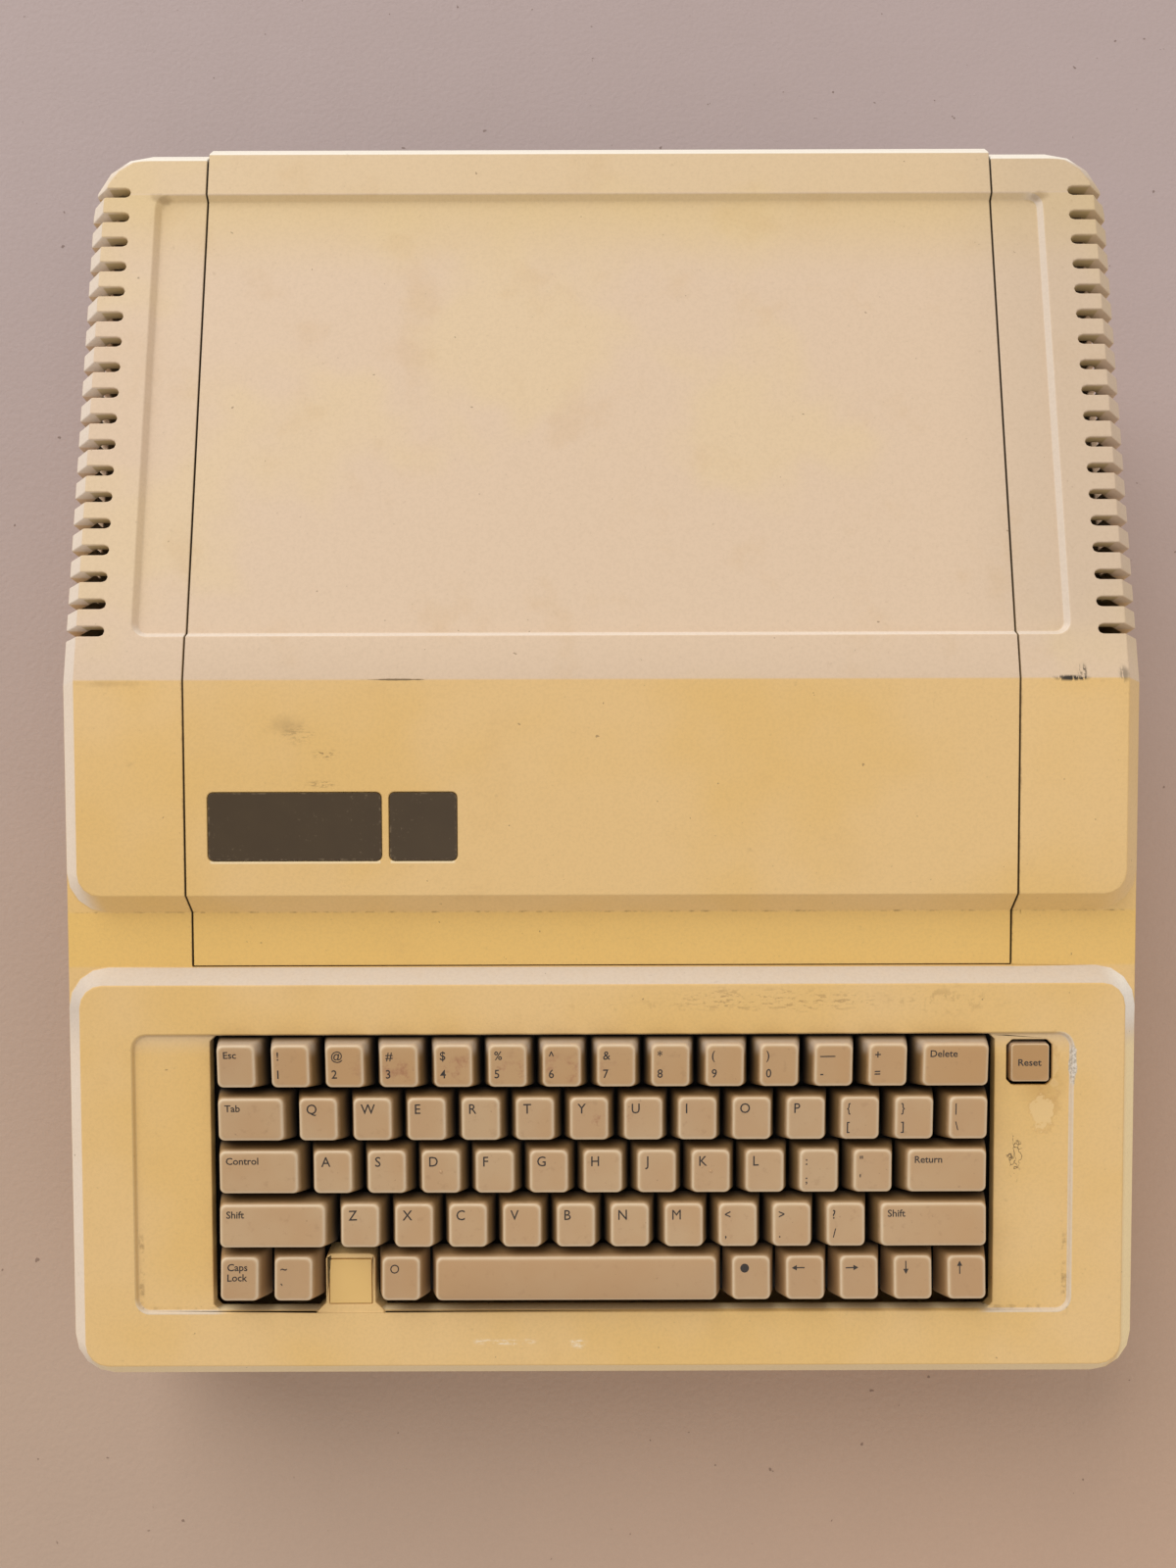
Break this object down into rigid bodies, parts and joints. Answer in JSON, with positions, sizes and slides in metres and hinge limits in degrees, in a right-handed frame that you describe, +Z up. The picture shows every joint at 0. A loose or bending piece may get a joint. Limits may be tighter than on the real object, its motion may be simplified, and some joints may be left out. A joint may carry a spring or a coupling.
{
  "type": "vintage home computer",
  "caption": "Wedge-shaped desktop home computer with a built-in keyboard, a lift-off top lid over the card bay and vent slots down both sides.",
  "frame": {"origin": "on the table, at the middle of the machine's outline", "axes": "+X to the right of a person typing, +Y to the rear, +Z up"},
  "size_m": [0.385, 0.454, 0.114],
  "materials": {
    "case_plastic": "fine-grained beige moulding, yellowed with age",
    "key_plastic": "satin brown-beige key caps",
    "switch_plastic": "black moulding",
    "badge_plastic": "dark brown semi-gloss plates",
    "lamp_plastic": "satin translucent plate",
    "zinc_steel": "zinc-plated sheet",
    "board_laminate": "green solder mask",
    "rubber": "matt",
    "speaker_paper": "pressed dark paper cone",
    "ribbon_vinyl": "grey ribbon cable"
  },
  "bodies": {
    "body": {"upper_case": "case_plastic", "base_pan": "zinc_steel", "rear_panel": "zinc_steel", "foot_front_left": "rubber", "foot_front_right": "rubber", "foot_rear_left": "rubber", "foot_rear_right": "rubber", "motherboard": "board_laminate", "power_supply": "zinc_steel", "speaker": "speaker_paper", "keyboard_frame": "key_plastic", "keyboard_board": "board_laminate", "power_lamp": "lamp_plastic", "keyboard_cable": "ribbon_vinyl"},
    "lid": {"lid": "case_plastic", "badge_wide": "badge_plastic", "badge_small": "badge_plastic"},
    "rocker": {"power_switch": "switch_plastic"},
    "reset": {"key_reset": "key_plastic"},
    "cap_space": {"key_space": "key_plastic"},
    "cap_esc": {"key_esc": "key_plastic"},
    "cap_tab": {"key_tab": "key_plastic"},
    "cap_control": {"key_control": "key_plastic"},
    "cap_shift_left": {"key_shift_left": "key_plastic"},
    "cap_caps_lock": {"key_caps_lock": "key_plastic"},
    "cap_delete": {"key_delete": "key_plastic"},
    "cap_return": {"key_return": "key_plastic"},
    "cap_shift_right": {"key_shift_right": "key_plastic"},
    "cap_symbol_left": {"key_symbol_left": "key_plastic"},
    "cap_symbol_right": {"key_symbol_right": "key_plastic"},
    "cap_cursor_left": {"key_cursor_left": "key_plastic"},
    "cap_cursor_right": {"key_cursor_right": "key_plastic"},
    "cap_cursor_down": {"key_cursor_down": "key_plastic"},
    "cap_cursor_up": {"key_cursor_up": "key_plastic"},
    "cap_q": {"key_q": "key_plastic"},
    "cap_w": {"key_w": "key_plastic"},
    "cap_e": {"key_e": "key_plastic"},
    "cap_r": {"key_r": "key_plastic"},
    "cap_t": {"key_t": "key_plastic"},
    "cap_y": {"key_y": "key_plastic"},
    "cap_u": {"key_u": "key_plastic"},
    "cap_i": {"key_i": "key_plastic"},
    "cap_o": {"key_o": "key_plastic"},
    "cap_p": {"key_p": "key_plastic"},
    "cap_a": {"key_a": "key_plastic"},
    "cap_s": {"key_s": "key_plastic"},
    "cap_d": {"key_d": "key_plastic"},
    "cap_f": {"key_f": "key_plastic"},
    "cap_g": {"key_g": "key_plastic"},
    "cap_h": {"key_h": "key_plastic"},
    "cap_j": {"key_j": "key_plastic"},
    "cap_k": {"key_k": "key_plastic"},
    "cap_l": {"key_l": "key_plastic"},
    "cap_z": {"key_z": "key_plastic"},
    "cap_x": {"key_x": "key_plastic"},
    "cap_c": {"key_c": "key_plastic"},
    "cap_v": {"key_v": "key_plastic"},
    "cap_b": {"key_b": "key_plastic"},
    "cap_n": {"key_n": "key_plastic"},
    "cap_m": {"key_m": "key_plastic"}
  },
  "joints": [
    {"name": "lid_lift", "type": "slide", "parent": "body", "child": "lid", "axis": [0, 0, 1], "range_m": [0, 0.15]},
    {"name": "power_rocker", "type": "hinge", "parent": "body", "child": "rocker", "pos_m": [-0.141, 0.213, 0.054], "axis": [1, 0, 0], "range_deg": [-16, 0]},
    {"name": "reset_press", "type": "slide", "parent": "body", "child": "reset", "axis": [0, 0.1874, -0.9823], "range_m": [0, 0.0025], "stiffness_N_per_m": 160, "springref_m": -0.003},
    {"name": "space_press", "type": "slide", "parent": "body", "child": "cap_space", "axis": [0, 0.1874, -0.9823], "range_m": [0, 0.0038], "stiffness_N_per_m": 110, "springref_m": -0.003},
    {"name": "esc_press", "type": "slide", "parent": "body", "child": "cap_esc", "axis": [0, 0.1874, -0.9823], "range_m": [0, 0.0038], "stiffness_N_per_m": 110, "springref_m": -0.003},
    {"name": "tab_press", "type": "slide", "parent": "body", "child": "cap_tab", "axis": [0, 0.1874, -0.9823], "range_m": [0, 0.0038], "stiffness_N_per_m": 110, "springref_m": -0.003},
    {"name": "control_press", "type": "slide", "parent": "body", "child": "cap_control", "axis": [0, 0.1874, -0.9823], "range_m": [0, 0.0038], "stiffness_N_per_m": 110, "springref_m": -0.003},
    {"name": "shift_left_press", "type": "slide", "parent": "body", "child": "cap_shift_left", "axis": [0, 0.1874, -0.9823], "range_m": [0, 0.0038], "stiffness_N_per_m": 110, "springref_m": -0.003},
    {"name": "caps_lock_press", "type": "slide", "parent": "body", "child": "cap_caps_lock", "axis": [0, 0.1874, -0.9823], "range_m": [0, 0.0038], "stiffness_N_per_m": 110, "springref_m": -0.003},
    {"name": "delete_press", "type": "slide", "parent": "body", "child": "cap_delete", "axis": [0, 0.1874, -0.9823], "range_m": [0, 0.0038], "stiffness_N_per_m": 110, "springref_m": -0.003},
    {"name": "return_press", "type": "slide", "parent": "body", "child": "cap_return", "axis": [0, 0.1874, -0.9823], "range_m": [0, 0.0038], "stiffness_N_per_m": 110, "springref_m": -0.003},
    {"name": "shift_right_press", "type": "slide", "parent": "body", "child": "cap_shift_right", "axis": [0, 0.1874, -0.9823], "range_m": [0, 0.0038], "stiffness_N_per_m": 110, "springref_m": -0.003},
    {"name": "symbol_left_press", "type": "slide", "parent": "body", "child": "cap_symbol_left", "axis": [0, 0.1874, -0.9823], "range_m": [0, 0.0038], "stiffness_N_per_m": 110, "springref_m": -0.003},
    {"name": "symbol_right_press", "type": "slide", "parent": "body", "child": "cap_symbol_right", "axis": [0, 0.1874, -0.9823], "range_m": [0, 0.0038], "stiffness_N_per_m": 110, "springref_m": -0.003},
    {"name": "cursor_left_press", "type": "slide", "parent": "body", "child": "cap_cursor_left", "axis": [0, 0.1874, -0.9823], "range_m": [0, 0.0038], "stiffness_N_per_m": 110, "springref_m": -0.003},
    {"name": "cursor_right_press", "type": "slide", "parent": "body", "child": "cap_cursor_right", "axis": [0, 0.1874, -0.9823], "range_m": [0, 0.0038], "stiffness_N_per_m": 110, "springref_m": -0.003},
    {"name": "cursor_down_press", "type": "slide", "parent": "body", "child": "cap_cursor_down", "axis": [0, 0.1874, -0.9823], "range_m": [0, 0.0038], "stiffness_N_per_m": 110, "springref_m": -0.003},
    {"name": "cursor_up_press", "type": "slide", "parent": "body", "child": "cap_cursor_up", "axis": [0, 0.1874, -0.9823], "range_m": [0, 0.0038], "stiffness_N_per_m": 110, "springref_m": -0.003},
    {"name": "q_press", "type": "slide", "parent": "body", "child": "cap_q", "axis": [0, 0.1874, -0.9823], "range_m": [0, 0.0038], "stiffness_N_per_m": 110, "springref_m": -0.003},
    {"name": "w_press", "type": "slide", "parent": "body", "child": "cap_w", "axis": [0, 0.1874, -0.9823], "range_m": [0, 0.0038], "stiffness_N_per_m": 110, "springref_m": -0.003},
    {"name": "e_press", "type": "slide", "parent": "body", "child": "cap_e", "axis": [0, 0.1874, -0.9823], "range_m": [0, 0.0038], "stiffness_N_per_m": 110, "springref_m": -0.003},
    {"name": "r_press", "type": "slide", "parent": "body", "child": "cap_r", "axis": [0, 0.1874, -0.9823], "range_m": [0, 0.0038], "stiffness_N_per_m": 110, "springref_m": -0.003},
    {"name": "t_press", "type": "slide", "parent": "body", "child": "cap_t", "axis": [0, 0.1874, -0.9823], "range_m": [0, 0.0038], "stiffness_N_per_m": 110, "springref_m": -0.003},
    {"name": "y_press", "type": "slide", "parent": "body", "child": "cap_y", "axis": [0, 0.1874, -0.9823], "range_m": [0, 0.0038], "stiffness_N_per_m": 110, "springref_m": -0.003},
    {"name": "u_press", "type": "slide", "parent": "body", "child": "cap_u", "axis": [0, 0.1874, -0.9823], "range_m": [0, 0.0038], "stiffness_N_per_m": 110, "springref_m": -0.003},
    {"name": "i_press", "type": "slide", "parent": "body", "child": "cap_i", "axis": [0, 0.1874, -0.9823], "range_m": [0, 0.0038], "stiffness_N_per_m": 110, "springref_m": -0.003},
    {"name": "o_press", "type": "slide", "parent": "body", "child": "cap_o", "axis": [0, 0.1874, -0.9823], "range_m": [0, 0.0038], "stiffness_N_per_m": 110, "springref_m": -0.003},
    {"name": "p_press", "type": "slide", "parent": "body", "child": "cap_p", "axis": [0, 0.1874, -0.9823], "range_m": [0, 0.0038], "stiffness_N_per_m": 110, "springref_m": -0.003},
    {"name": "a_press", "type": "slide", "parent": "body", "child": "cap_a", "axis": [0, 0.1874, -0.9823], "range_m": [0, 0.0038], "stiffness_N_per_m": 110, "springref_m": -0.003},
    {"name": "s_press", "type": "slide", "parent": "body", "child": "cap_s", "axis": [0, 0.1874, -0.9823], "range_m": [0, 0.0038], "stiffness_N_per_m": 110, "springref_m": -0.003},
    {"name": "d_press", "type": "slide", "parent": "body", "child": "cap_d", "axis": [0, 0.1874, -0.9823], "range_m": [0, 0.0038], "stiffness_N_per_m": 110, "springref_m": -0.003},
    {"name": "f_press", "type": "slide", "parent": "body", "child": "cap_f", "axis": [0, 0.1874, -0.9823], "range_m": [0, 0.0038], "stiffness_N_per_m": 110, "springref_m": -0.003},
    {"name": "g_press", "type": "slide", "parent": "body", "child": "cap_g", "axis": [0, 0.1874, -0.9823], "range_m": [0, 0.0038], "stiffness_N_per_m": 110, "springref_m": -0.003},
    {"name": "h_press", "type": "slide", "parent": "body", "child": "cap_h", "axis": [0, 0.1874, -0.9823], "range_m": [0, 0.0038], "stiffness_N_per_m": 110, "springref_m": -0.003},
    {"name": "j_press", "type": "slide", "parent": "body", "child": "cap_j", "axis": [0, 0.1874, -0.9823], "range_m": [0, 0.0038], "stiffness_N_per_m": 110, "springref_m": -0.003},
    {"name": "k_press", "type": "slide", "parent": "body", "child": "cap_k", "axis": [0, 0.1874, -0.9823], "range_m": [0, 0.0038], "stiffness_N_per_m": 110, "springref_m": -0.003},
    {"name": "l_press", "type": "slide", "parent": "body", "child": "cap_l", "axis": [0, 0.1874, -0.9823], "range_m": [0, 0.0038], "stiffness_N_per_m": 110, "springref_m": -0.003},
    {"name": "z_press", "type": "slide", "parent": "body", "child": "cap_z", "axis": [0, 0.1874, -0.9823], "range_m": [0, 0.0038], "stiffness_N_per_m": 110, "springref_m": -0.003},
    {"name": "x_press", "type": "slide", "parent": "body", "child": "cap_x", "axis": [0, 0.1874, -0.9823], "range_m": [0, 0.0038], "stiffness_N_per_m": 110, "springref_m": -0.003},
    {"name": "c_press", "type": "slide", "parent": "body", "child": "cap_c", "axis": [0, 0.1874, -0.9823], "range_m": [0, 0.0038], "stiffness_N_per_m": 110, "springref_m": -0.003},
    {"name": "v_press", "type": "slide", "parent": "body", "child": "cap_v", "axis": [0, 0.1874, -0.9823], "range_m": [0, 0.0038], "stiffness_N_per_m": 110, "springref_m": -0.003},
    {"name": "b_press", "type": "slide", "parent": "body", "child": "cap_b", "axis": [0, 0.1874, -0.9823], "range_m": [0, 0.0038], "stiffness_N_per_m": 110, "springref_m": -0.003},
    {"name": "n_press", "type": "slide", "parent": "body", "child": "cap_n", "axis": [0, 0.1874, -0.9823], "range_m": [0, 0.0038], "stiffness_N_per_m": 110, "springref_m": -0.003},
    {"name": "m_press", "type": "slide", "parent": "body", "child": "cap_m", "axis": [0, 0.1874, -0.9823], "range_m": [0, 0.0038], "stiffness_N_per_m": 110, "springref_m": -0.003}
  ]
}
